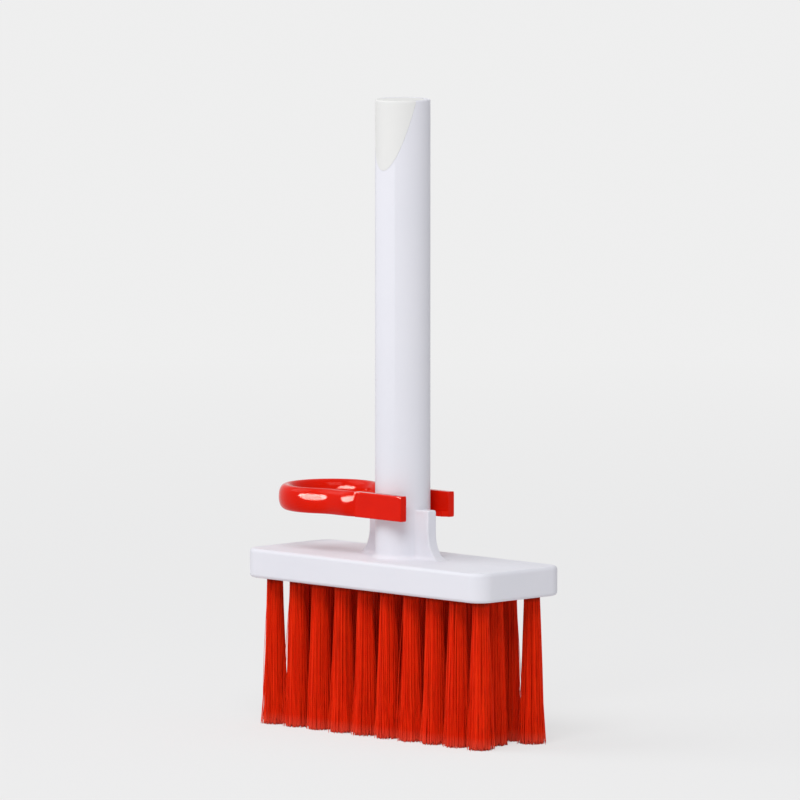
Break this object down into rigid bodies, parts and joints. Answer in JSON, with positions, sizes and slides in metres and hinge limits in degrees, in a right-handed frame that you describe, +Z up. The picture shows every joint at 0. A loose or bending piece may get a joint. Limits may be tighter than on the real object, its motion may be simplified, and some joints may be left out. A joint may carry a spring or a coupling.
{
  "type": "keyboard cleaning brush",
  "caption": "Upright cleaning brush: a rounded plate with tufted bristles below, a round hollow handle above that holds a capped pen, and a looped keycap puller clipped on it.",
  "frame": {"origin": "on the handle's axis, in the plane of the bristle tips that the brush stands on", "axes": "+Z up along the handle, X along the plate's long side with the puller's finger ring towards -X, -Y the front where the handle's oblique mouth is lowest"},
  "size_m": [0.08, 0.028, 0.15],
  "materials": {
    "body_white": "fine satin moulded white plastic with a cool tint",
    "cap_white": "fine satin moulded plastic, neutral white",
    "bristle_red": "fine red nylon filament",
    "puller_red": "glossy red moulded plastic",
    "steel": "turned steel",
    "foam_white": "short white flock on a soft core"
  },
  "bodies": {
    "brush": {"brush_body": "body_white", "tuft_front_01": "bristle_red", "tuft_front_02": "bristle_red", "tuft_front_03": "bristle_red", "tuft_front_04": "bristle_red", "tuft_front_05": "bristle_red", "tuft_front_06": "bristle_red", "tuft_front_07": "bristle_red", "tuft_front_08": "bristle_red", "tuft_front_09": "bristle_red", "tuft_front_10": "bristle_red", "tuft_middle_01": "bristle_red", "tuft_middle_02": "bristle_red", "tuft_middle_03": "bristle_red", "tuft_middle_04": "bristle_red", "tuft_middle_05": "bristle_red", "tuft_middle_06": "bristle_red", "tuft_middle_07": "bristle_red", "tuft_middle_08": "bristle_red", "tuft_middle_09": "bristle_red", "tuft_rear_01": "bristle_red", "tuft_rear_02": "bristle_red", "tuft_rear_03": "bristle_red", "tuft_rear_04": "bristle_red", "tuft_rear_05": "bristle_red", "tuft_rear_06": "bristle_red", "tuft_rear_07": "bristle_red", "tuft_rear_08": "bristle_red", "tuft_rear_09": "bristle_red", "tuft_rear_10": "bristle_red"},
    "puller": {"keycap_puller": "puller_red"},
    "pen": {"pen_barrel": "cap_white", "nib_collar": "steel", "metal_nib": "steel", "sponge_tip": "foam_white"},
    "cap": {"pen_cap": "cap_white"}
  },
  "joints": [
    {"name": "puller_slide", "type": "slide", "parent": "brush", "child": "puller", "axis": [0, 0, 1], "range_m": [-0.008, 0.1]},
    {"name": "pen_slide", "type": "slide", "parent": "brush", "child": "pen", "axis": [0, 0, 1], "range_m": [0, 0.103]},
    {"name": "cap_pull", "type": "slide", "parent": "pen", "child": "cap", "axis": [0, 0, 1], "range_m": [0, 0.024]}
  ]
}
